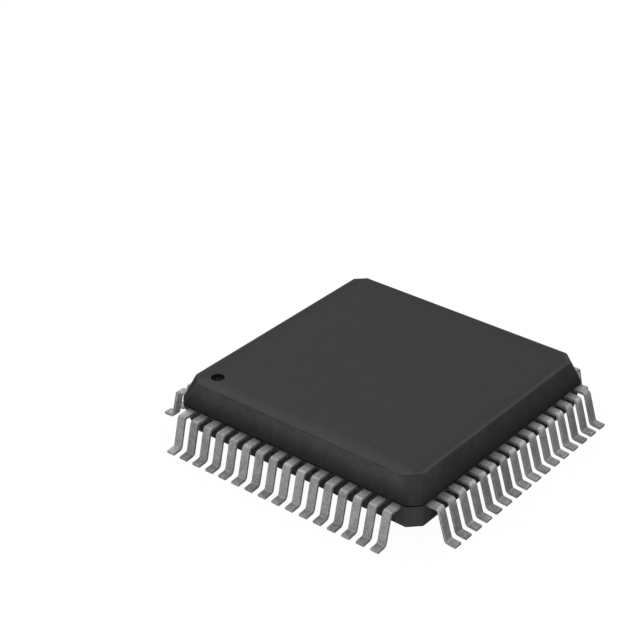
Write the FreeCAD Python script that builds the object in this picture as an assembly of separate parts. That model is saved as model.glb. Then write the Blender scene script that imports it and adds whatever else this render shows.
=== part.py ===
import FreeCAD, Part
import math
import os

from FreeCAD import Vector

# Quad flat package, 64 formed leads, square moulded body.
# Frame: +Z up, millimetres. The origin is the centre of the seating plane, where
# the flat undersides of the feet stand. Leads are numbered counter-clockwise
# seen from above, from the corner that has the round dimple (-X, +Y).

os.makedirs("parts", exist_ok=True)

# ---------------------------------------------------------------- dimensions
# leads
pitch = 0.80             # lead spacing
per_side = 16            # leads on each side
lead_w = 0.45            # width of a lead outside the body
lead_t = 0.14            # thickness of the lead metal, plating included
tip_half = 8.61          # centre of the body to a foot's end
lead_top = 1.685         # top of the flat lead metal where it leaves the body
# where the shoulder's and the leg's centre lines cross, for the rows on -X, -Y,
# +X and +Y: the forming punch stood 0.05 mm off the centre of the body
knee_u = (7.71, 7.61, 7.61, 7.71)
ankle_u = 8.07           # where the leg's and the foot's centre lines cross
bend_top_r = 0.17        # centre-line radius of the upper bend
bend_foot_r = 0.18       # centre-line radius of the lower bend
edge_r = 0.025           # rounding along the sheared edges of a lead
pitch_foot = math.radians(4.0)   # a foot drops this much towards its end
root_u = 6.66            # inside the body: end of the full-width part of a lead
fan_u = (6.66, 5.40, 4.50)          # stations of the fan inside the body
fan_k = (1.0, 4.70 / 6.0, 3.45 / 6.0)   # how far each station draws a lead in
fan_w = (0.45, 0.30, 0.22)          # width of the metal at each station

# moulded body; each corner cut is given as it is measured along a side, for the
# corners (-X -Y), (+X -Y), (+X +Y) and (-X +Y)
seam_half = 7.00         # half width at the seam
seam_cut = (0.45, 0.53, 0.50, 0.43)
seam_lo = 1.70           # lower lip of the seam groove
seam_hi = 1.765          # upper lip of the seam groove
seam_depth = 0.075       # depth of the seam groove
top_z = 2.95             # top face
top_half = 6.62          # half width at the top, before the edge is rounded
top_cut = (0.66, 0.65, 0.52, 0.65)
top_r = 0.12             # rounding of the top edge
bottom_z = 0.33          # underside, above the seating plane
bottom_half = 6.77       # half width at the underside, before rounding
bottom_cut = (0.58, 0.58, 0.58, 0.58)
bottom_shift = (0.07, -0.06)    # the lower half is not drafted quite evenly
bottom_r = 0.12          # rounding of the bottom edge
corner_r = 0.12          # rounding of the upright edges at the corner cuts
dimple_at = (-5.60, 5.60)
dimple_r = 0.32          # radius of the round dimple at the top face
dimple_floor_r = 0.28
dimple_depth = 0.15

# what is inside
pad_half = 3.80          # die pad, half width
pad_t = 0.15
pad_z = 1.27             # underside of the pad, set down below the leads
bar_w = 0.20             # width of the tie bars
bar_end = 9.25           # tie bar's end, measured along the diagonal
attach_half = 3.10
attach_t = 0.03
die_half = 3.00
die_t = 0.30
wire_r = 0.015           # radius of the bond wire
ball_r = 0.045
ball_h = 0.025
wire_pad_u = 2.85        # row of bond pads on the die
wire_pad_k = 2.60 / 6.0
wire_end_u = 4.68        # stitch bond's end on the lead
loop_rise = 0.30         # loop height above the die

lead_bottom = lead_top - lead_t
die_top = pad_z + pad_t + attach_t + die_t


# ------------------------------------------------------------------- helpers
def ring(half, cut, z):
    """Corners of a square with its corners cut off."""
    h, (c0, c1, c2, c3) = half, cut
    pts = [(-h, -h + c0), (-h + c0, -h), (h - c1, -h), (h, -h + c1),
           (h, h - c2), (h - c2, h), (-h + c3, h), (-h, h - c3)]
    return [Vector(x, y, z) for x, y in pts]


def flat(vs):
    return Part.Face(Part.makePolygon(vs + [vs[0]]))


def frustum(half_a, cut_a, z_a, half_b, cut_b, z_b, shift_b=(0.0, 0.0)):
    """Solid between two such outlines, with flat drafted sides."""
    a, b = ring(half_a, cut_a, z_a), ring(half_b, cut_b, z_b)
    b = [v.add(Vector(shift_b[0], shift_b[1], 0)) for v in b]
    if z_a < z_b:
        a, b = b, a          # the first face is the upper one, facing +Z
    faces = [flat(a), flat(b[::-1])]
    for i in range(len(a)):
        k = (i + 1) % len(a)
        faces.append(flat([b[i], b[k], a[k], a[i]]))
    shell = Part.Shell(faces)
    shell.sewShape()
    return Part.Solid(shell)


def prism(points, z0, z1):
    """Upright prism on a polygon given in X and Y."""
    vs = [Vector(x, y, z0) for x, y in points]
    face = Part.Face(Part.makePolygon(vs + [vs[0]]))
    return face.extrude(Vector(0, 0, z1 - z0))


def moulded_half(half_a, cut_a, z_a, half_b, cut_b, z_b, rim_r,
                 shift_b=(0.0, 0.0)):
    """Drafted half of the body from the seam (a) to its flat face (b)."""
    solid = frustum(half_a, cut_a, z_a, half_b, cut_b, z_b, shift_b)
    upright = [e for e in solid.Edges
               if abs(e.Vertexes[0].Z - e.Vertexes[1].Z) > 0.1]
    solid = solid.makeFillet(corner_r, upright)
    rim = [e for e in solid.Edges
           if all(abs(v.Z - z_b) < 1e-6 for v in e.Vertexes)]
    return solid.makeFillet(rim_r, rim)


def tangent_path(points, radii):
    """Straight runs joined by tangent arcs, through points of one plane."""
    edges = []
    start = points[0]
    for i in range(1, len(points) - 1):
        p, r = points[i], radii[i - 1]
        a = points[i - 1].sub(p)
        b = points[i + 1].sub(p)
        a.normalize()
        b.normalize()
        inner = math.acos(max(-1.0, min(1.0, a.dot(b))))
        back = r / math.tan(inner / 2.0)
        t0 = p.add(Vector(a).multiply(back))
        t1 = p.add(Vector(b).multiply(back))
        half = a.add(b)
        half.normalize()
        centre = p.add(Vector(half).multiply(r / math.sin(inner / 2.0)))
        mid = centre.sub(Vector(half).multiply(r))
        edges.append(Part.LineSegment(start, t0).toShape())
        edges.append(Part.Arc(t0, mid, t1).toShape())
        start = t1
    edges.append(Part.LineSegment(start, points[-1]).toShape())
    return edges


# --------------------------------------------------------------------- leads
# Local frame of a lead: u points out of the body, v along the side.
# Middle of a foot's end face: the rounded lower edge of the end stands at Z = 0
# and the rounded upper one at tip_half.
end_over = edge_r * (math.sin(pitch_foot) + math.cos(pitch_foot) - 1.0)
end_u = tip_half - math.sin(pitch_foot) * lead_t / 2.0 + end_over
end_z = math.cos(pitch_foot) * lead_t / 2.0 - end_over


def lead_profile(knee_at):
    """Side view of the formed part of a lead, as a face in the u-Z plane."""
    zc = lead_top - lead_t / 2.0
    foot_d = (math.cos(pitch_foot), -math.sin(pitch_foot))
    foot_n = (math.sin(pitch_foot), math.cos(pitch_foot))
    foot_zc = end_z + (end_u - ankle_u) * math.tan(pitch_foot)
    tilt = math.atan2(ankle_u - knee_at, zc - foot_zc)
    knee = (knee_at, zc)
    ankle = (ankle_u, foot_zc)
    ends = []
    for side in (+1, -1):
        # offset each centre line by half the thickness and cross them again
        off = side * lead_t / 2.0
        leg_n = (math.cos(tilt), math.sin(tilt))
        leg_d = (math.sin(tilt), -math.cos(tilt))

        def cross(through, normal, along):
            # the leg's line meets the line of the shoulder or of the foot
            px, pz = through[0] + leg_n[0] * off, through[1] + leg_n[1] * off
            qx, qz = through[0] + normal[0] * off, through[1] + normal[1] * off
            det = leg_d[0] * along[1] - leg_d[1] * along[0]
            s = ((qx - px) * along[1] - (qz - pz) * along[0]) / det
            return Vector(px + leg_d[0] * s, 0, pz + leg_d[1] * s)

        pts = [Vector(root_u, 0, zc + off), cross(knee, (0.0, 1.0), (1.0, 0.0)),
               cross(ankle, foot_n, foot_d),
               Vector(end_u + foot_n[0] * off, 0, end_z + foot_n[1] * off)]
        radii = [bend_top_r + off, bend_foot_r - off]
        ends.append((pts, tangent_path(pts, radii)))
    outer_pts, outer = ends[0]
    inner_pts, inner = ends[1]
    close_tip = Part.LineSegment(outer_pts[-1], inner_pts[-1]).toShape()
    close_root = Part.LineSegment(outer_pts[0], inner_pts[0]).toShape()
    edges = Part.__sortEdges__(outer + [close_tip] + inner + [close_root])
    return Part.Face(Part.Wire(edges))


def formed_part(knee_at):
    """Shoulder, leg and foot, with the sheared edges rounded."""
    solid = lead_profile(knee_at).extrude(Vector(0, lead_w, 0))
    solid.translate(Vector(0, -lead_w / 2.0, 0))
    keep = []
    for e in solid.Edges:
        ends_y = [v.Y for v in e.Vertexes]
        ends_x = [v.X for v in e.Vertexes]
        along = abs(ends_y[0] - ends_y[-1]) < 1e-6
        at_root = all(abs(x - root_u) < 1e-6 for x in ends_x)
        at_tip = all(abs((v.X - end_u) * math.cos(pitch_foot)
                         - (v.Z - end_z) * math.sin(pitch_foot)) < 1e-6
                     for v in e.Vertexes)
        if (along and not at_root and not at_tip) or at_tip:
            keep.append(e)
    return solid.makeFillet(edge_r, keep)


FORMED = {k: formed_part(k) for k in sorted(set(knee_u))}


def local_lead(j, knee_at):
    """One whole lead in the local frame: fan inside the body and formed part."""
    v0 = -pitch * (per_side - 1) / 2.0 + pitch * j
    one, other = [], []
    for u, k, w in zip(fan_u, fan_k, fan_w):
        one.append((u, v0 * k + w / 2.0))
        other.append((u, v0 * k - w / 2.0))
    fan = prism(one + other[::-1], lead_bottom, lead_top)
    formed = FORMED[knee_at].copy()
    formed.translate(Vector(0, v0, 0))
    return fan.fuse(formed).removeSplitter()


def local_wire(j):
    """Bond wire of one lead: ball on the die, loop, stitch on the lead."""
    v0 = -pitch * (per_side - 1) / 2.0 + pitch * j
    a = Vector(wire_pad_u, v0 * wire_pad_k, 0)
    s = (wire_end_u - fan_u[2]) / (fan_u[1] - fan_u[2])
    k_end = fan_k[2] + s * (fan_k[1] - fan_k[2])
    b = Vector(wire_end_u, v0 * k_end, 0)
    run = b.sub(a)
    length = run.Length
    run.normalize()

    def at(d, z):
        p = a.add(Vector(run).multiply(d))
        return Vector(p.x, p.y, z)

    lie = lead_top + 0.6 * wire_r
    pts = [at(0, die_top), at(0, die_top + loop_rise),
           at(length - 0.14, lie), at(length, lie)]
    path = Part.Wire(tangent_path(pts, [0.10, 0.30]))
    circle = Part.Wire(Part.makeCircle(wire_r, pts[0], Vector(0, 0, 1)))
    tube = path.makePipeShell([circle], True, True)
    ball = Part.makeCylinder(ball_r, ball_h, pts[0], Vector(0, 0, 1))
    tube = tube.fuse(ball).removeSplitter()
    # the stitch is pressed flat on the top of the lead
    press = Part.makeBox(1.0, 1.2, 0.2,
                         Vector(fan_u[2] - 0.1, b.y - 0.6, lead_top - 0.2))
    return tube.cut(press)


def turned(shape, side):
    """Copy for one side: 0 is -X, 1 is -Y, 2 is +X, 3 is +Y."""
    angle = (180.0, 270.0, 0.0, 90.0)[side]
    copy = shape.copy()
    copy.rotate(Vector(0, 0, 0), Vector(0, 0, 1), angle)
    return copy


def first_solid(shape):
    solids = shape.Solids
    assert len(solids) == 1, len(solids)
    return solids[0]


lead_set = {k: [first_solid(local_lead(j, k)) for j in range(per_side)]
            for k in FORMED}
wire_set = [first_solid(local_wire(j)) for j in range(per_side)]
leads = [turned(lead_set[knee_u[s]][j], s)
         for s in range(4) for j in range(per_side)]
wires = [turned(wire_set[j], s) for s in range(4) for j in range(per_side)]

# ------------------------------------------------------ die pad and tie bars
pad = prism([(-pad_half, -pad_half), (pad_half, -pad_half),
             (pad_half, pad_half), (-pad_half, pad_half)], pad_z, pad_z + pad_t)
r0 = pad_half * math.sqrt(2.0) - 0.5      # starts inside the pad's corner
r1 = pad_half * math.sqrt(2.0) + 0.25     # rises from here ...
r2 = r1 + 0.35                            # ... to here
bar_pts = [(r0, pad_z), (r1, pad_z), (r2, lead_bottom), (bar_end, lead_bottom),
           (bar_end, lead_top), (r2 - 0.05, lead_top), (r1 - 0.05, pad_z + pad_t),
           (r0, pad_z + pad_t)]
bar_face = Part.Face(Part.makePolygon(
    [Vector(r, -bar_w / 2.0, z) for r, z in bar_pts + [bar_pts[0]]]))
bar = bar_face.extrude(Vector(0, bar_w, 0))
bars = []
for n in range(4):
    b = bar.copy()
    b.rotate(Vector(0, 0, 0), Vector(0, 0, 1), 45.0 + 90.0 * n)
    bars.append(b)
die_pad = first_solid(pad.fuse(bars).removeSplitter())

# --------------------------------------------------- adhesive layer and die
die_attach = Part.makeBox(2 * attach_half, 2 * attach_half, attach_t,
                          Vector(-attach_half, -attach_half, pad_z + pad_t))
silicon_die = Part.makeBox(2 * die_half, 2 * die_half, die_t,
                           Vector(-die_half, -die_half, pad_z + pad_t + attach_t))

# -------------------------------------------------------------- moulded body
upper = moulded_half(seam_half, seam_cut, seam_hi,
                     top_half, top_cut, top_z, top_r)
lower = moulded_half(seam_half, seam_cut, seam_lo,
                     bottom_half, bottom_cut, bottom_z, bottom_r, bottom_shift)
neck = frustum(seam_half - seam_depth, seam_cut, seam_lo - 0.05,
               seam_half - seam_depth, seam_cut, seam_hi + 0.05)
neck = neck.makeFillet(corner_r, [e for e in neck.Edges if
                                  abs(e.Vertexes[0].Z - e.Vertexes[1].Z) > 0.05])
dimple = Part.makeCone(dimple_floor_r, dimple_r, dimple_depth,
                       Vector(dimple_at[0], dimple_at[1], top_z - dimple_depth),
                       Vector(0, 0, 1))
body = upper.fuse([neck, lower]).removeSplitter()
body = body.cut(dimple)
# the epoxy fills the space round everything it was moulded over
body = body.cut([die_pad, die_attach, silicon_die] + leads)
body = body.cut(wires)
mould_body = first_solid(body)

# -------------------------------------------------------------------- export
nodes = {"mould_body": mould_body, "die_pad": die_pad,
         "die_attach": die_attach, "silicon_die": silicon_die}
for g in range(0, 64, 4):
    tag = "%02d_%02d" % (g + 1, g + 4)
    nodes["leads_" + tag] = Part.makeCompound(leads[g:g + 4])
    nodes["bond_wires_" + tag] = Part.makeCompound(wires[g:g + 4])

for name, shape in nodes.items():
    shape.exportStep("parts/" + name + ".step")
    print(name, len(shape.Solids), "solids, volume", round(shape.Volume, 5),
          "valid", shape.isValid())
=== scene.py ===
import math

import bmesh
import bpy
from mathutils import Matrix, Vector


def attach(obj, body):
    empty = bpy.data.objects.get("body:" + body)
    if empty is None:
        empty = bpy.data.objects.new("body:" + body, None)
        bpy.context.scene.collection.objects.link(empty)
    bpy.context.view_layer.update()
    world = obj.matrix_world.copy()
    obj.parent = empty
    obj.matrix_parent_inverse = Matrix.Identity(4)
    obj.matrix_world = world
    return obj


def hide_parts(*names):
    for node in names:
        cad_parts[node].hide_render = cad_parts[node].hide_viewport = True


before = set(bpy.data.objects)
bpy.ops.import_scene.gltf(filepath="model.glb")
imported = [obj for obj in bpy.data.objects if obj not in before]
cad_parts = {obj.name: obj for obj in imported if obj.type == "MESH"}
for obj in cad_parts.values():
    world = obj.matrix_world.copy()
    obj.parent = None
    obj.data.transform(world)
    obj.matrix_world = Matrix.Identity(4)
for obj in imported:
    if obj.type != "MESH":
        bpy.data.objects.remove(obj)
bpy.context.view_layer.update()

MM = 0.001


# ============================================================ dimensions (mm)
PITCH, PER_SIDE = 0.80, 16
LEAD_W, LEAD_T, TIP = 0.45, 0.14, 8.61
LEAD_TOP = 1.685
KNEE_U = (7.71, 7.61, 7.61, 7.71)     # rows on -X, -Y, +X, +Y
ANKLE_U = 8.07
BEND_TOP_R, BEND_FOOT_R = 0.17, 0.18
FOOT_PITCH = math.radians(4.0)        # a foot drops this much towards its end
END_OVER = 0.025 * (math.sin(FOOT_PITCH) + math.cos(FOOT_PITCH) - 1.0)
END_U = TIP - math.sin(FOOT_PITCH) * LEAD_T / 2 + END_OVER
END_Z = math.cos(FOOT_PITCH) * LEAD_T / 2 - END_OVER
FAN_U = (4.50, 5.40, 6.66)
FAN_K = (3.45 / 6.0, 4.70 / 6.0, 1.0)
FAN_W = (0.22, 0.30, 0.45)

# corner cuts in the order front (-X -Y), right (+X -Y), back (+X +Y), left (-X +Y)
SEAM_HALF, SEAM_CUT = 7.00, (0.50, 0.53, 0.50, 0.43)
SEAM_LO, SEAM_HI, SEAM_DEPTH = 1.70, 1.765, 0.075
TOP_Z, TOP_HALF, TOP_CUT, TOP_R = 2.95, 6.62, (0.66, 0.65, 0.52, 0.65), 0.12
BOT_Z, BOT_HALF, BOT_CUT, BOT_R = 0.33, 6.77, (0.58, 0.58, 0.58, 0.58), 0.12
CORNER_R = 0.12
BOT_SHIFT = (0.07, -0.06)        # the lower half is not drafted quite evenly
DIMPLE = (-5.60, 5.60)
DIMPLE_R, DIMPLE_FLOOR_R, DIMPLE_DEPTH = 0.32, 0.28, 0.15


# ================================================================== materials
# the last tone is painted shade, the dark of the band between the leads and of the seam groove
EPOXY_TONE, EPOXY_IOR, SHADED_BAND_TONE = 0.0405, 1.20, 0.0440


def material(name):
    m = bpy.data.materials.new(name)
    m.use_nodes = True
    nt = m.node_tree
    nt.nodes.clear()
    out = nt.nodes.new("ShaderNodeOutputMaterial")
    bsdf = nt.nodes.new("ShaderNodeBsdfPrincipled")
    nt.links.new(bsdf.outputs["BSDF"], out.inputs["Surface"])
    return m, nt, bsdf


def node(nt, kind, **values):
    n = nt.nodes.new(kind)
    for k, v in values.items():
        if hasattr(n, k):
            setattr(n, k, v)
        else:
            n.inputs[k].default_value = v
    return n


def noise(nt, coords, scale, detail=2.0, rough=0.5, distortion=0.0):
    n = node(nt, "ShaderNodeTexNoise")
    n.inputs["Scale"].default_value = scale
    n.inputs["Detail"].default_value = detail
    n.inputs["Roughness"].default_value = rough
    n.inputs["Distortion"].default_value = distortion
    nt.links.new(coords, n.inputs["Vector"])
    return n.outputs["Fac"]


def ramp(nt, fac, low, high, lo_val, hi_val):
    """Smoothly maps a 0..1 signal from [low, high] to [lo_val, hi_val]."""
    n = nt.nodes.new("ShaderNodeMapRange")
    n.interpolation_type = "SMOOTHSTEP"
    n.inputs["From Min"].default_value = low
    n.inputs["From Max"].default_value = high
    n.inputs["To Min"].default_value = lo_val
    n.inputs["To Max"].default_value = hi_val
    nt.links.new(fac, n.inputs["Value"])
    return n.outputs["Result"]


def maths(nt, op, a, b):
    n = nt.nodes.new("ShaderNodeMath")
    n.operation = op
    for i, v in enumerate((a, b)):
        if isinstance(v, (int, float)):
            n.inputs[i].default_value = v
        else:
            nt.links.new(v, n.inputs[i])
    return n.outputs[0]


def tinted(nt, fac, dark, light):
    """Colour from dark to light by a 0..1 signal."""
    n = nt.nodes.new("ShaderNodeMix")
    n.data_type = "RGBA"
    n.inputs["A"].default_value = (*dark, 1)
    n.inputs["B"].default_value = (*light, 1)
    nt.links.new(fac, n.inputs["Factor"])
    return n.outputs["Result"]


def bump(nt, height, strength, distance, normal=None):
    n = nt.nodes.new("ShaderNodeBump")
    n.inputs["Strength"].default_value = strength
    n.inputs["Distance"].default_value = distance
    nt.links.new(height, n.inputs["Height"])
    if normal is not None:
        nt.links.new(normal, n.inputs["Normal"])
    return n.outputs["Normal"]


def object_coords(nt):
    return nt.nodes.new("ShaderNodeTexCoord").outputs["Object"]


def band(nt, v, a, b, c, d):
    """1 between b and c, fading to 0 at a and at d."""
    return maths(nt, "MULTIPLY", ramp(nt, v, a, b, 0.0, 1.0),
                 ramp(nt, v, c, d, 1.0, 0.0))


def blend(nt, fac, low, high):
    """low + (high - low) * fac, on plain numbers or signals."""
    return maths(nt, "ADD", low, maths(nt, "MULTIPLY", fac,
                 maths(nt, "SUBTRACT", high, low)))


def epoxy_material():
    """Black moulding compound.

    Spark-eroded mould texture with faint flow marks. The rim carries a painted
    highlight, the top has painted light towards the edge on -X and a painted light
    gradient across it, and the drafted sides have painted shade towards the seam,
    those on -X and -Y painted lit unequally. The cut corners and the lower half are
    painted lighter, the left cut corner and the bottom rim painted darker.
    """
    m, nt, b = material("moulded_epoxy")
    co = object_coords(nt)
    xyz = nt.nodes.new("ShaderNodeSeparateXYZ")
    nt.links.new(co, xyz.inputs[0])
    z = maths(nt, "MULTIPLY", xyz.outputs["Z"], 1000.0)

    grain = noise(nt, co, 15000, 3.0, 0.6)
    cloud = noise(nt, co, 700, 3.0, 0.55, 0.6)
    speck = noise(nt, co, 3600, 3.0, 0.6)
    stretch = nt.nodes.new("ShaderNodeVectorMath")
    stretch.operation = "MULTIPLY"
    stretch.inputs[1].default_value = (1.0, 1.0, 0.22)
    nt.links.new(co, stretch.inputs[0])
    streak_noise = noise(nt, stretch.outputs[0], 2600, 3.0, 0.6)

    x = maths(nt, "MULTIPLY", xyz.outputs["X"], 1000.0)
    y = maths(nt, "MULTIPLY", xyz.outputs["Y"], 1000.0)
    ax, ay = maths(nt, "ABSOLUTE", x, 0), maths(nt, "ABSOLUTE", y, 0)
    widest = maths(nt, "MAXIMUM", ax, ay)
    on_x = ramp(nt, maths(nt, "SUBTRACT", ax, ay), -0.10, 0.10, 0.0, 1.0)
    left = maths(nt, "MULTIPLY", on_x, ramp(nt, x, -1.0, 1.0, 1.0, 0.0))
    front = maths(nt, "MULTIPLY", maths(nt, "SUBTRACT", 1.0, on_x),
                  ramp(nt, y, -1.0, 1.0, 1.0, 0.0))

    # drafted side: main walls and the cut corners, with painted shade towards the seam and painted
    # light towards the top
    slope = (SEAM_HALF - TOP_HALF) / (TOP_Z - SEAM_HI)
    wall = maths(nt, "ADD", TOP_HALF, maths(nt, "MULTIPLY", slope,
                 maths(nt, "SUBTRACT", TOP_Z, z)))
    corner = ramp(nt, maths(nt, "SUBTRACT", wall, widest), 0.02, 0.12, 0.0, 1.0)
    # painted light and shade: the upper part of the -X wall is painted lighter and that of the -Y
    # wall darker, as the light falls from -X
    high = ramp(nt, z, 2.10, 2.62, 0.0, 1.0)
    painted_side_light = maths(nt, "MULTIPLY", high, maths(nt, "MULTIPLY", 0.17,
                   maths(nt, "SUBTRACT", left, front)))
    # painted shade and light: the walls are darker towards the seam, where the leads shade them,
    # and lighter towards the top
    main = maths(nt, "MULTIPLY", ramp(nt, z, 1.72, 2.86, 0.50, 1.32),
                 maths(nt, "ADD", 1.0, painted_side_light))
    # painted light: the -Y and -X walls are painted lighter towards the front corner
    painted_corner_light = maths(nt, "MULTIPLY", front, ramp(nt, x, -6.2, -2.6, 0.42, 0.0))
    painted_corner_light = maths(nt, "ADD", painted_corner_light, maths(nt, "MULTIPLY", left,
                 ramp(nt, y, -6.2, 4.0, 0.17, 0.0)))
    main = maths(nt, "MULTIPLY", main, maths(nt, "ADD", 1.0, painted_corner_light))
    # painted light and shade: the cut corners are painted lighter, more towards the top, and the
    # cut of the left corner (-X +Y) darker
    painted_left_corner_shade = ramp(nt, maths(nt, "SUBTRACT", x, y), -12.0, -12.5, 1.0, 0.40)
    painted_chamfer_tone = maths(nt, "MULTIPLY", painted_left_corner_shade,
                    ramp(nt, z, 1.72, 2.86, 1.12, 1.50))
    side = blend(nt, corner, main, painted_chamfer_tone)
    side = maths(nt, "MULTIPLY", side,
                 ramp(nt, streak_noise, 0.3, 0.7, 0.90, 1.10))

    # top face: painted highlight on the rim, painted light and shade by the edges, painted light
    # gradient across it
    edge = maths(nt, "SUBTRACT", TOP_HALF, widest)
    cut = maths(nt, "MULTIPLY", math.sqrt(0.5),
                maths(nt, "SUBTRACT", 2 * TOP_HALF - TOP_CUT[0],
                      maths(nt, "ADD", ax, ay)))
    inset = maths(nt, "MINIMUM", edge, cut)
    # painted highlight: a lighter streaky line just inside the top's edge, faint on -X and fading
    # towards +X +Y
    rim = maths(nt, "MULTIPLY", band(nt, inset, -0.05, 0.03, 0.11, 0.22),
                ramp(nt, streak_noise, 0.25, 0.6, 0.34, 0.62))
    left_rim = maths(nt, "MULTIPLY", ramp(nt, x, -1.0, 1.0, 1.0, 0.0),
                     ramp(nt, maths(nt, "SUBTRACT", ax, ay),
                          -0.30, -0.10, 0.0, 1.0))
    rim = maths(nt, "MULTIPLY", rim, blend(nt, left_rim, 1.0, 0.10))
    rim = maths(nt, "MULTIPLY", rim, ramp(nt, maths(nt, "ADD", x, y),
                                          3.0, 6.0, 1.0, 0.25))
    # painted light and shade: the top is painted lighter within a millimetre of the -X edge and a
    # little darker by the other edges
    painted_edge_light = maths(nt, "MULTIPLY", ramp(nt, edge, 1.00, 0.22, 0.0, 1.0),
                 maths(nt, "SUBTRACT", maths(nt, "MULTIPLY", left, 0.50), 0.13))
    # painted light: the top is painted lighter towards -X and slightly towards -Y
    painted_light_gradient = maths(nt, "ADD", maths(nt, "MULTIPLY", x, -0.014),
                 maths(nt, "MULTIPLY", y, -0.004))
    face = maths(nt, "ADD", maths(nt, "ADD", rim, painted_edge_light),
                 maths(nt, "ADD", painted_light_gradient, 1.06))
    upper = blend(nt, ramp(nt, z, 2.905, 2.935, 0.0, 1.0), side, face)
    # painted shade: a darker streaky line along the rounded rim of the -X edge
    line = maths(nt, "MULTIPLY", band(nt, z, 2.870, 2.895, 2.925, 2.943),
                 ramp(nt, streak_noise, 0.42, 0.70, 0.00, 0.34))
    upper = maths(nt, "MULTIPLY", upper, maths(nt, "SUBTRACT", 1.0,
                  maths(nt, "MULTIPLY", line, left_rim)))
    # painted light: the lower half is painted lighter, standing in for light from below; painted
    # shade: its bottom rim is darker
    lower = ramp(nt, z, 0.36, 0.50, 0.85, 1.53)
    tone = blend(nt, ramp(nt, z, 1.66, 1.72, 0.0, 1.0), lower, upper)

    mix = maths(nt, "ADD", maths(nt, "MULTIPLY", grain, 0.40),
                maths(nt, "ADD", maths(nt, "MULTIPLY", cloud, 0.25),
                      maths(nt, "MULTIPLY", speck, 0.35)))
    base = tinted(nt, ramp(nt, mix, 0.34, 0.66, 0.0, 1.0),
                  (EPOXY_TONE * 0.83, EPOXY_TONE * 0.83, EPOXY_TONE * 0.84),
                  (EPOXY_TONE * 1.17, EPOXY_TONE * 1.17, EPOXY_TONE * 1.175))
    scaled = nt.nodes.new("ShaderNodeVectorMath")
    scaled.operation = "SCALE"
    nt.links.new(base, scaled.inputs[0])
    nt.links.new(tone, scaled.inputs["Scale"])
    nt.links.new(scaled.outputs[0], b.inputs["Base Color"])
    nt.links.new(ramp(nt, mix, 0.3, 0.7, 0.42, 0.54), b.inputs["Roughness"])
    b.inputs["IOR"].default_value = EPOXY_IOR
    n1 = bump(nt, cloud, 0.10, 0.00003)
    n2 = bump(nt, speck, 0.12, 0.000008, n1)
    n3 = bump(nt, grain, 0.22, 0.000004, n2)
    nt.links.new(n3, b.inputs["Normal"])
    return m


def shaded_trimmed_material():
    """Seam and the band between the leads: rough and dull from trimming, with painted shade where
    the leads and the groove shade it, and painted light past the last lead.
    """
    m, nt, b = material("trimmed_epoxy_painted_shade")
    co = object_coords(nt)
    xyz = nt.nodes.new("ShaderNodeSeparateXYZ")
    nt.links.new(co, xyz.inputs[0])
    along = maths(nt, "MINIMUM", maths(nt, "ABSOLUTE", xyz.outputs["X"], 0),
                  maths(nt, "ABSOLUTE", xyz.outputs["Y"], 0))
    plain = maths(nt, "MULTIPLY", ramp(nt, along, 0.00566, 0.00582, 0.0, 1.0),
                  ramp(nt, xyz.outputs["Z"], 0.00166, 0.00170, 1.0, 0.0))
    speck = noise(nt, co, 7000, 3.0, 0.65)
    crumb = noise(nt, co, 2600, 2.0, 0.5)
    mix = maths(nt, "ADD", maths(nt, "MULTIPLY", speck, 0.7),
                maths(nt, "MULTIPLY", crumb, 0.3))
    # painted shade: the dark tone of the band between the leads and the seam groove; the lighter
    # tone after it, used past the last lead below the groove, is painted light from below
    rough = ramp(nt, mix, 0.36, 0.66, SHADED_BAND_TONE * 0.45, SHADED_BAND_TONE * 1.6)
    painted_lower_light = ramp(nt, mix, 0.30, 0.70, EPOXY_TONE * 1.52, EPOXY_TONE * 1.78)
    nt.links.new(blend(nt, plain, rough, painted_lower_light), b.inputs["Base Color"])
    nt.links.new(ramp(nt, mix, 0.36, 0.66, 0.90, 0.70), b.inputs["Roughness"])
    b.inputs["IOR"].default_value = 1.12
    n1 = bump(nt, crumb, 0.20, 0.000008)
    nt.links.new(bump(nt, speck, 0.40, 0.000006, n1), b.inputs["Normal"])
    return m


def shaded_dimple_material():
    """The same compound where the mould was polished, inside the dimple, with its colour painted
    darker as painted shade and painted dark reflection of the recess.
    """
    m, nt, b = material("polished_epoxy_painted_shade")
    co = object_coords(nt)
    grain = noise(nt, co, 12000, 2.0, 0.5)
    # painted shade: a quarter of the body's tone, standing in for the recess's shade and dark
    # reflection
    nt.links.new(tinted(nt, ramp(nt, grain, 0.3, 0.7, 0.0, 1.0),
                        (0.0100, 0.0100, 0.0101), (0.0150, 0.0150, 0.0152)),
                 b.inputs["Base Color"])
    nt.links.new(ramp(nt, grain, 0.3, 0.7, 0.34, 0.42), b.inputs["Roughness"])
    b.inputs["IOR"].default_value = 1.12
    nt.links.new(bump(nt, grain, 0.15, 0.000004), b.inputs["Normal"])
    return m


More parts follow.
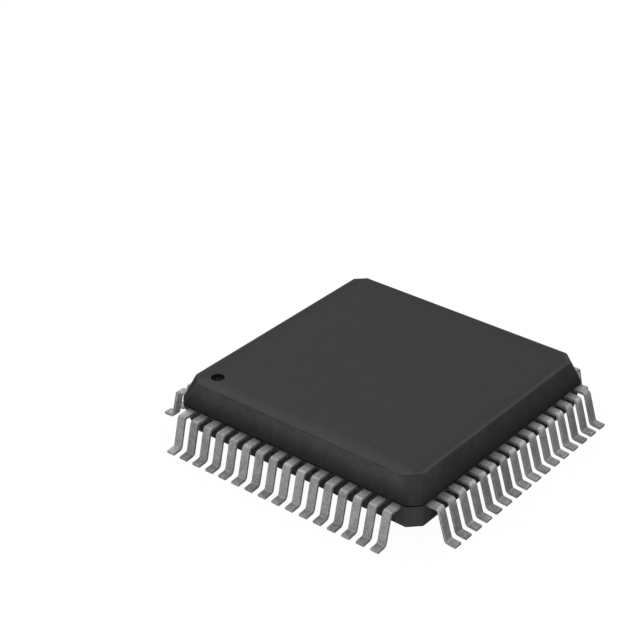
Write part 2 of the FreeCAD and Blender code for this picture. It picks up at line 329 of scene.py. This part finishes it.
def tin_material():
    """Matte electroplated tin, mottled; painted shade by the body, a painted highlight at the
    knees, and the -X row painted lit differently from the others.
    """
    m, nt, b = material("matte_tin")
    co = object_coords(nt)
    grain = noise(nt, co, 9500, 4.0, 0.62)
    blotch = noise(nt, co, 2300, 3.0, 0.55, 0.4)
    tone = nt.nodes.new("ShaderNodeAttribute")
    tone.attribute_name = "tone"
    mix = maths(nt, "ADD", maths(nt, "MULTIPLY", grain, 0.55),
                maths(nt, "ADD", maths(nt, "MULTIPLY", blotch, 0.33),
                      maths(nt, "MULTIPLY", tone.outputs["Fac"], 0.12)))
    xyz = nt.nodes.new("ShaderNodeSeparateXYZ")
    nt.links.new(co, xyz.inputs[0])
    out = maths(nt, "MAXIMUM", maths(nt, "ABSOLUTE", xyz.outputs["X"], 0),
                maths(nt, "ABSOLUTE", xyz.outputs["Y"], 0))
    out = maths(nt, "MULTIPLY", out, 1000.0)
    x = maths(nt, "MULTIPLY", xyz.outputs["X"], 1000.0)
    # painted light and shade by distance from the centre: darker by the body, lighter at the knee
    # bend, by other amounts on the -X row than on the others
    row = ramp(nt, x, -6.9, -6.5, 1.0, 0.0)
    knee = blend(nt, ramp(nt, out, 7.00, 7.40, 0.0, 1.0),
                 blend(nt, row, 0.57, 0.84), blend(nt, row, 0.98, 1.29))
    knee = blend(nt, ramp(nt, out, 7.48, 7.62, 0.0, 1.0), knee,
                 blend(nt, row, 1.42, 1.16))
    knee = blend(nt, ramp(nt, out, 7.66, 7.80, 0.0, 1.0), knee,
                 blend(nt, row, 1.00, 1.02))
    knee = blend(nt, ramp(nt, out, 8.20, 8.34, 0.0, 1.0), knee,
                 blend(nt, row, 0.95, 1.00))
    scaled = nt.nodes.new("ShaderNodeVectorMath")
    scaled.operation = "SCALE"
    nt.links.new(tinted(nt, ramp(nt, mix, 0.30, 0.72, 0.0, 1.0),
                        (0.26, 0.26, 0.258), (0.54, 0.54, 0.535)),
                 scaled.inputs[0])
    nt.links.new(knee, scaled.inputs["Scale"])
    nt.links.new(scaled.outputs[0], b.inputs["Base Color"])
    nt.links.new(ramp(nt, mix, 0.30, 0.72, 0.60, 0.44), b.inputs["Roughness"])
    b.inputs["Metallic"].default_value = 0.85
    n1 = bump(nt, blotch, 0.18, 0.000012)
    n2 = bump(nt, grain, 0.35, 0.000006, n1)
    nt.links.new(n2, b.inputs["Normal"])
    return m


def inner_metal(name, dark, light, rough, scale, metallic=1.0):
    m, nt, b = material(name)
    co = object_coords(nt)
    g = noise(nt, co, scale, 3.0, 0.55)
    nt.links.new(tinted(nt, ramp(nt, g, 0.3, 0.7, 0.0, 1.0), dark, light),
                 b.inputs["Base Color"])
    nt.links.new(ramp(nt, g, 0.3, 0.7, rough, rough + 0.12), b.inputs["Roughness"])
    b.inputs["Metallic"].default_value = metallic
    nt.links.new(bump(nt, g, 0.2, 0.000005), b.inputs["Normal"])
    return m


EPOXY = epoxy_material()
SHADED_POLISH = shaded_dimple_material()
SHADED_BAND = shaded_trimmed_material()
TIN = tin_material()
COPPER = inner_metal("leadframe_copper", (0.62, 0.33, 0.20), (0.78, 0.45, 0.29), 0.35, 6000)
GOLD = inner_metal("gold_wire", (0.85, 0.58, 0.20), (0.95, 0.70, 0.30), 0.22, 9000)
SILVER_PASTE = inner_metal("silver_epoxy", (0.42, 0.42, 0.42), (0.56, 0.56, 0.55), 0.55, 9000, 0.6)
SILICON = inner_metal("silicon", (0.10, 0.11, 0.13), (0.17, 0.18, 0.21), 0.12, 2500, 0.8)


# ============================================================ mesh from rings
def finish_mesh(name, verts, faces, mats, face_mats, normals, flat=None):
    """normals: one per vertex; flat: {face index: normal} for faces with their own."""
    mesh = bpy.data.meshes.new(name)
    mesh.from_pydata([tuple(c * MM for c in v) for v in verts], [], faces)
    for m in mats:
        mesh.materials.append(m)
    mesh.polygons.foreach_set("material_index", face_mats)
    mesh.polygons.foreach_set("use_smooth", [True] * len(mesh.polygons))
    mesh.update()
    flat = flat or {}
    loops = []
    for i, f in enumerate(faces):
        own = flat.get(i)
        loops.extend([own] * len(f) if own else [normals[v] for v in f])
    mesh.normals_split_custom_set(loops)
    o = bpy.data.objects.new(name, mesh)
    bpy.context.scene.collection.objects.link(o)
    return o


# -------------------------------------------------------------- moulded body
ANGLES = [math.radians(180.0 + 45.0 * i) for i in range(8)]
ARC = 6          # segments round each of the eight upright edges


def offsets(half, cut, shift=(0.0, 0.0)):
    return [(half if i % 2 == 0 else (2 * half - cut[i // 2]) / math.sqrt(2.0))
            + shift[0] * math.cos(ANGLES[i]) + shift[1] * math.sin(ANGLES[i])
            for i in range(8)]


def plan_ring(dist, r):
    """Points and outward plan angles of the outline with its vertices rounded."""
    pts = []
    for i in range(8):
        k = (i + 1) % 8
        a0 = ANGLES[i]
        a1 = a0 + math.radians(45.0)
        n0 = (math.cos(a0), math.sin(a0))
        n1 = (math.cos(a1), math.sin(a1))
        d0, d1 = dist[i] - r, dist[k] - r
        det = n0[0] * n1[1] - n0[1] * n1[0]
        cx = (d0 * n1[1] - d1 * n0[1]) / det
        cy = (n0[0] * d1 - n1[0] * d0) / det
        for s in range(ARC + 1):
            a = a0 + (a1 - a0) * s / ARC
            pts.append((cx + r * math.cos(a), cy + r * math.sin(a), a,
                        i, s / ARC))
    return pts


class Rings:
    """Closed solid of revolution-like rings with a normal at every point."""

    def __init__(self):
        self.verts, self.normals, self.rings = [], [], []

    def add(self, dist, r, z, elev):
        """z and elev hold one value for each of the eight sides."""
        ring = []
        for x, y, a, i, t in plan_ring(dist, r):
            k = (i + 1) % 8
            zz = z[i] * (1 - t) + z[k] * t
            e = elev[i] * (1 - t) + elev[k] * t
            ring.append(len(self.verts))
            self.verts.append((x, y, zz))
            self.normals.append((math.cos(e) * math.cos(a),
                                 math.cos(e) * math.sin(a), math.sin(e)))
        self.rings.append(ring)
        return ring

    def skin(self):
        faces = []
        for lo, hi in zip(self.rings, self.rings[1:]):
            n = len(lo)
            for j in range(n):
                k = (j + 1) % n
                faces.append((lo[j], lo[k], hi[k], hi[j]))
        return faces


def side_rings(out, half_a, cut_a, z_a, half_b, cut_b, z_b, rim, corner,
               lip, steps, up, shift_b=(0.0, 0.0)):
    """Rings from the seam lip (a) over the drafted side to the flat face (b).

    up is +1 for the upper half and -1 for the lower half; rings are returned in
    the order seam -> flat face as parameter sets, so that the caller can reverse.
    """
    da, db = offsets(half_a, cut_a), offsets(half_b, cut_b, shift_b)
    h = abs(z_b - z_a)
    draft = [math.atan2(da[i] - db[i], h) for i in range(8)]
    sets = []

    def at(dz, i):
        return da[i] - dz * math.tan(draft[i])

    # lip: rounded edge between the groove's ledge and the drafted side
    for s in range(steps + 1):
        th = [-math.pi / 2 + (math.pi / 2 + d) * s / steps for d in draft]
        sets.append(([at(lip, i) - lip / math.cos(draft[i]) + lip * math.cos(th[i])
                      for i in range(8)], corner,
                     [lip + lip * math.sin(a) for a in th], th))
    # drafted side, in a few bands
    z_fillet = h - rim
    for f in (0.25, 0.5, 0.75):
        dz = lip + (z_fillet - lip) * f
        sets.append(([at(dz, i) for i in range(8)], corner, [dz] * 8, draft))
    # rounded rim
    n = 8
    for s in range(n + 1):
        th = [d + (math.pi / 2 - d) * s / n for d in draft]
        r = max(0.03, corner - rim + rim * math.cos(th[0]))
        sets.append(([at(z_fillet, i) - rim / math.cos(draft[i])
                      + rim * math.cos(th[i]) for i in range(8)], r,
                     [z_fillet + rim * math.sin(a) for a in th], th))
    return [(dist, r, [z_a + up * z for z in zz], [up * e for e in th])
            for dist, r, zz, th in sets]


def build_body():
    out = Rings()
    corner_up, corner_lo = CORNER_R + 0.02, CORNER_R + 0.02
    lower = side_rings(out, SEAM_HALF, SEAM_CUT, SEAM_LO, BOT_HALF, BOT_CUT,
                       BOT_Z, BOT_R, corner_lo, 0.016, 3, -1, BOT_SHIFT)
    upper = side_rings(out, SEAM_HALF, SEAM_CUT, SEAM_HI, TOP_HALF, TOP_CUT,
                       TOP_Z, TOP_R, corner_up, 0.016, 3, +1)
    for args in lower[::-1]:
        out.add(*args)
    # the groove: floor set back from both lips
    groove = offsets(SEAM_HALF - SEAM_DEPTH, SEAM_CUT)
    level = [0.0] * 8
    first = len(out.rings)
    out.add(groove, 0.10, [SEAM_LO] * 8, level)
    out.add(groove, 0.10, [SEAM_HI] * 8, level)
    for args in upper:
        out.add(*args)
    faces = out.skin()
    verts, normals = list(out.verts), list(out.normals)
    per = len(out.rings[0])
    own = {}
    for j in range(per):
        own[(first - 1) * per + j] = (0.0, 0.0, 1.0)      # lower ledge
        own[(first + 1) * per + j] = (0.0, 0.0, -1.0)     # upper ledge

    # dimple rings, from the top face down to its floor
    seg = 48
    drops = []
    for s in range(5):
        t = math.pi / 2 * s / 4
        drops.append((DIMPLE_R + 0.02 - 0.02 * math.sin(t),
                      TOP_Z - 0.02 * (1 - math.cos(t)), math.pi / 2 - t))
    wall = math.atan2(DIMPLE_R - DIMPLE_FLOOR_R, DIMPLE_DEPTH)
    for s in range(5):
        t = (math.pi / 2 - wall) * s / 4
        drops.append((DIMPLE_FLOOR_R - 0.03 * math.sin(t),
                      TOP_Z - DIMPLE_DEPTH + 0.03 * (1 - math.sin(t)),
                      wall + t))
    rings = []
    for r, z, e in drops:
        ring = []
        for j in range(seg):
            a = 2 * math.pi * j / seg
            ring.append(len(verts))
            verts.append((DIMPLE[0] + r * math.cos(a),
                          DIMPLE[1] + r * math.sin(a), z))
            normals.append((-math.cos(e) * math.cos(a),
                            -math.cos(e) * math.sin(a), math.sin(e)))
        rings.append(ring)
    dimple_faces = []
    for lo, hi in zip(rings, rings[1:]):
        for j in range(seg):
            k = (j + 1) % seg
            dimple_faces.append((lo[j], lo[k], hi[k], hi[j]))
    dimple_faces.append(tuple(rings[-1]))

    # top face round the dimple, and the underside
    top = out.rings[-1]
    tm = bmesh.new()
    lookup = {}

    def loop_of(ids):
        vs = []
        for i in ids:
            v = tm.verts.new(verts[i])
            lookup[v] = i
            vs.append(v)
        return [tm.edges.new((vs[j], vs[(j + 1) % len(vs)]))
                for j in range(len(vs))]

    edges = loop_of(top) + loop_of(rings[0])
    made = bmesh.ops.triangle_fill(tm, use_beauty=True, edges=edges,
                                   normal=(0, 0, 1))
    top_faces = []
    for f in made["geom"]:
        if isinstance(f, bmesh.types.BMFace):
            ids = [lookup[v] for v in f.verts]
            p = [Vector(verts[i]) for i in ids]
            if (p[1] - p[0]).cross(p[2] - p[0]).z < 0:
                ids.reverse()
            top_faces.append(tuple(ids))
    tm.free()
    under = tuple(out.rings[0][::-1])

    all_faces = faces + top_faces + [under] + dimple_faces
    mats = [0] * (len(faces) + len(top_faces) + 1) + [1] * len(dimple_faces)
    # the seam groove and the lower walls between the leads take the painted shade of the trimmed
    # band
    for level in range(first + 2):
        for j in range(per):
            straight = j % (ARC + 1) == ARC
            main = ((j // (ARC + 1)) + 1) % 2 == 0
            if level >= first - 1 or (straight and main):
                mats[level * per + j] = 2
    for j in range(seg * 2):       # the rim's rounding keeps the outer finish
        mats[len(faces) + len(top_faces) + 1 + j] = 0
    for i in range(len(faces), len(faces) + len(top_faces)):
        own[i] = (0.0, 0.0, 1.0)
    own[len(faces) + len(top_faces)] = (0.0, 0.0, -1.0)
    own[len(all_faces) - 1] = (0.0, 0.0, 1.0)
    body = finish_mesh("moulded_body", verts, all_faces, [EPOXY, SHADED_POLISH, SHADED_BAND],
                       mats, normals, own)
    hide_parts("mould_body")
    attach(body, "root")
    return body


# ---------------------------------------------------------------------- leads
def lead_path(knee_u):
    """Centre line of the formed part: (u, z, tangent angle below level)."""
    zc = LEAD_TOP - LEAD_T / 2
    zf = END_Z + (END_U - ANKLE_U) * math.tan(FOOT_PITCH)
    turn = math.pi / 2 - math.atan2(ANKLE_U - knee_u, zc - zf)
    knee = (knee_u, zc)
    ankle = (ANKLE_U, zf)
    back_t = BEND_TOP_R * math.tan(turn / 2)
    back_f = BEND_FOOT_R * math.tan((turn - FOOT_PITCH) / 2)
    out = [(6.80, zc, 0.0), (7.10, zc, 0.0), (7.30, zc, 0.0)]
    c = (knee[0] - back_t, zc - BEND_TOP_R)
    n = 12
    for s in range(n + 1):
        a = turn * s / n
        out.append((c[0] + BEND_TOP_R * math.sin(a),
                    c[1] + BEND_TOP_R * math.cos(a), a))
    p0 = out[-1]
    sp, cp = math.sin(FOOT_PITCH), math.cos(FOOT_PITCH)
    c = (ankle[0] + back_f * cp + BEND_FOOT_R * sp,
         ankle[1] - back_f * sp + BEND_FOOT_R * cp)
    arc = []
    for s in range(n + 1):
        a = turn + (FOOT_PITCH - turn) * s / n
        arc.append((c[0] - BEND_FOOT_R * math.sin(a),
                    c[1] - BEND_FOOT_R * math.cos(a), a))
    for f in (0.25, 0.5, 0.75):
        out.append((p0[0] + (arc[0][0] - p0[0]) * f,
                    p0[1] + (arc[0][1] - p0[1]) * f, turn))
    return out + arc


PATHS = {u: lead_path(u) for u in sorted(set(KNEE_U))}
CORNER = 0.030


def section(w, t, r, n=3):
    """Rounded rectangle, counter-clockwise, as (across, through, nx, ny)."""
    pts = []
    for cx, cy, a0 in ((1, 1, 0), (-1, 1, 90), (-1, -1, 180), (1, -1, 270)):
        for s in range(n + 1):
            a = math.radians(a0 + 90.0 * s / n)
            pts.append((cx * (w / 2 - r) + r * math.cos(a),
                        cy * (t / 2 - r) + r * math.sin(a),
                        math.cos(a), math.sin(a)))
    return pts


def build_lead(verts, normals, faces, flat, j, side, tones, tone):
    v0 = -PITCH * (PER_SIDE - 1) / 2 + PITCH * j
    spin = (math.pi, -math.pi / 2, 0.0, math.pi / 2)[side]
    cs, sn = math.cos(spin), math.sin(spin)
    rows = []
    zc = LEAD_TOP - LEAD_T / 2
    for u, k, w in zip(FAN_U, FAN_K, FAN_W):
        rows.append((u, zc, 0.0, v0 * k, w, LEAD_T, 0.012, 0.0))
    for u, z, a in PATHS[KNEE_U[side]]:
        rows.append((u, z, a, v0, LEAD_W, LEAD_T, CORNER, 0.0))
    edge = 0.020
    for s in range(4):
        b = math.pi / 2 * s / 3
        inset = 2 * edge * (1 - math.cos(b))
        run = edge * (math.sin(b) - 1.0)
        rows.append((END_U + run * math.cos(FOOT_PITCH),
                     END_Z - run * math.sin(FOOT_PITCH), FOOT_PITCH, v0,
                     LEAD_W - inset, LEAD_T - inset,
                     max(CORNER - inset / 2, 0.006), b))
    rings = []
    for u, z, a, v, w, t, r, lean in rows:
        ring = []
        nu, nz = math.sin(a), math.cos(a)
        tu, tz = math.cos(a), -math.sin(a)
        for across, through, na, nt_ in section(w, t, r):
            # looking along the tangent, so that faces point outwards
            pu = u + nu * through
            pz = z + nz * through
            pv = v + across
            gu = nu * nt_ * math.cos(lean) + tu * math.sin(lean)
            gz = nz * nt_ * math.cos(lean) + tz * math.sin(lean)
            gv = na * math.cos(lean)
            ring.append(len(verts))
            verts.append((pu * cs - pv * sn, pu * sn + pv * cs, pz))
            normals.append((gu * cs - gv * sn, gu * sn + gv * cs, gz))
            tones.append(tone)
        rings.append(ring)
    n = len(rings[0])
    for lo, hi in zip(rings, rings[1:]):
        for i in range(n):
            k = (i + 1) % n
            faces.append((lo[i], lo[k], hi[k], hi[i]))
    for ring, sign in ((rings[0], -1), (rings[-1], +1)):
        flat[len(faces)] = (sign * cs, sign * sn, 0.0)
        faces.append(tuple(ring[::-1] if sign < 0 else ring))


def hashed(i, salt):
    """Repeatable value in 0..1 for a lead."""
    x = math.sin(i * 12.9898 + salt * 78.233) * 43758.5453
    return x - math.floor(x)


def build_leads():
    made = []
    for g in range(16):
        side = g // 4
        verts, normals, faces, flat, tones = [], [], [], {}, []
        for q in range(4):
            n = g * 4 + q
            build_lead(verts, normals, faces, flat, (g % 4) * 4 + q, side, tones,
                       hashed(n + 1, 1.7))
        name = "gull_leads_%02d_%02d" % (g * 4 + 1, g * 4 + 4)
        o = finish_mesh(name, verts, faces, [TIN], [0] * len(faces), normals, flat)
        a = o.data.attributes.new("tone", "FLOAT", "POINT")
        a.data.foreach_set("value", tones)
        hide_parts("leads_%02d_%02d" % (g * 4 + 1, g * 4 + 4))
        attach(o, "root")
        made.append(o)
    return made


BODY = build_body()
LEADS = build_leads()

# what is sealed inside keeps its CAD shape and gets its own finish
for name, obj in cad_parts.items():
    finish = None
    if name.startswith("bond_wires"):
        finish = GOLD
    elif name == "die_pad":
        finish = COPPER
    elif name == "die_attach":
        finish = SILVER_PASTE
    elif name == "silicon_die":
        finish = SILICON
    elif name.startswith("leads"):
        finish = TIN
    elif name == "mould_body":
        finish = EPOXY
    if finish is not None:
        obj.data.materials.clear()
        obj.data.materials.append(finish)


# ============================================================ floor and light
def glowing(name, albedo, glow):
    m, nt, b = material(name)
    b.inputs["Base Color"].default_value = (albedo, albedo, albedo, 1)
    b.inputs["Roughness"].default_value = 0.9
    b.inputs["Specular IOR Level"].default_value = 0.0
    b.inputs["Emission Color"].default_value = (1, 1, 1, 1)
    b.inputs["Emission Strength"].default_value = glow
    return m


def build_stage():
    """Pale floor and a pale wall round it; neither throws light on the object."""
    radius, seg = 0.60, 96
    ring = [(radius * math.cos(2 * math.pi * i / seg),
             radius * math.sin(2 * math.pi * i / seg)) for i in range(seg)]
    floor_mesh = bpy.data.meshes.new("floor")
    floor_mesh.from_pydata([(x, y, 0) for x, y in ring], [], [tuple(range(seg))])
    wall = bpy.data.meshes.new("wall")
    verts, faces = [], []
    for k in range(7):
        e = math.pi / 2 * k / 7
        for x, y in ring:
            verts.append((x * math.cos(e), y * math.cos(e), radius * math.sin(e)))
    for k in range(6):
        for i in range(seg):
            n = (i + 1) % seg
            faces.append((k * seg + i, k * seg + n, (k + 1) * seg + n,
                          (k + 1) * seg + i))
    faces.append(tuple(6 * seg + i for i in range(seg)))
    wall.from_pydata(verts, [], faces)
    for mesh, mat in ((floor_mesh, glowing("pale_floor", 0.05, 0.965)),
                      (wall, glowing("pale_wall", 0.0, 0.99))):
        mesh.materials.append(mat)
        o = bpy.data.objects.new(mesh.name, mesh)
        bpy.context.scene.collection.objects.link(o)
        o.location = (0, 0, -0.00001)
        o.visible_diffuse = o.visible_glossy = o.visible_shadow = False
        o.visible_transmission = o.visible_volume_scatter = False


# softboxes round the object: azimuth from +X, elevation, cosines where the
# light starts and where it is full, strength
SOFTBOXES = [
    (0, 90, 0.70, 0.97, 0.104), (36, 50, 0.70, 0.97, 0.690),
    (96, 50, 0.70, 0.97, 0.560), (156, 50, 0.70, 0.97, 0.158),
    (216, 50, 0.70, 0.97, 0.199), (276, 50, 0.70, 0.97, 0.239),
    (336, 50, 0.70, 0.97, 0.503), (36, 12, 0.80, 0.98, 0.313),
    (66, 12, 0.80, 0.98, 0.424), (96, 12, 0.80, 0.98, 0.241),
    (126, 12, 0.80, 0.98, 0.306), (156, 12, 0.80, 0.98, 0.146),
    (186, 12, 0.80, 0.98, 0.461), (216, 12, 0.80, 0.98, 0.383),
    (246, 12, 0.80, 0.98, 0.058), (276, 12, 0.80, 0.98, 0.082),
    (306, 12, 0.80, 0.98, 0.205), (336, 12, 0.80, 0.98, 0.210),
    (6, 12, 0.80, 0.98, 0.123), (36, -26, 0.66, 0.96, 0.050),
    (96, -26, 0.66, 0.96, 0.020), (156, -26, 0.66, 0.96, 0.510),
    (216, -26, 0.66, 0.96, 0.509), (276, -26, 0.66, 0.96, 0.154),
    (336, -26, 0.66, 0.96, 0.153), (0, -90, 0.60, 0.95, 0.414),
]


def build_world():
    world = bpy.data.worlds.new("studio")
    bpy.context.scene.world = world
    world.use_nodes = True
    nt = world.node_tree
    nt.nodes.clear()
    out = nt.nodes.new("ShaderNodeOutputWorld")
    bg = nt.nodes.new("ShaderNodeBackground")
    nt.links.new(bg.outputs["Background"], out.inputs["Surface"])
    d = nt.nodes.new("ShaderNodeTexCoord").outputs["Generated"]
    total = None
    for az, el, lo, hi, strength in SOFTBOXES:
        a, e = math.radians(az), math.radians(el)
        n = nt.nodes.new("ShaderNodeVectorMath")
        n.operation = "DOT_PRODUCT"
        n.inputs[1].default_value = (math.cos(a) * math.cos(e),
                                     math.sin(a) * math.cos(e), math.sin(e))
        nt.links.new(d, n.inputs[0])
        box = ramp(nt, n.outputs["Value"], lo, hi, 0.0, strength)
        total = box if total is None else maths(nt, "ADD", total, box)
    nt.links.new(total, bg.inputs["Strength"])
    bg.inputs["Color"].default_value = (1, 1, 1, 1)


def build_camera():
    az, el = math.radians(-53.5336), math.radians(32.3429)
    back = Vector((math.sin(az) * math.cos(el), -math.cos(az) * math.cos(el),
                   math.sin(el)))
    right = Vector((math.cos(az), math.sin(az), 0.0))
    up = back.cross(right)
    base = Matrix((right, up, back)).transposed()
    turn = (Matrix.Rotation(math.radians(1.1503), 3, "Z")
            @ Matrix.Rotation(math.radians(2.5069), 3, "X")
            @ Matrix.Rotation(math.radians(2.0770), 3, "Y"))
    cam = bpy.data.cameras.new("camera")
    cam.sensor_width = 36.0
    cam.lens = 1763.4172 / 640.0 * 36.0
    cam.clip_start, cam.clip_end = 0.001, 20.0
    obj = bpy.data.objects.new("camera", cam)
    bpy.context.scene.collection.objects.link(obj)
    m = (base @ turn).to_4x4()
    m.translation = Vector((0, 0, 0.0013)) + back * 0.0846864
    obj.matrix_world = m
    bpy.context.scene.camera = obj


build_stage()
build_world()
build_camera()
bpy.context.scene.view_settings.view_transform = "Standard"
bpy.context.scene.view_settings.look = "None"
bpy.context.scene.view_settings.exposure = 0.0
bpy.context.scene.view_settings.gamma = 1.0
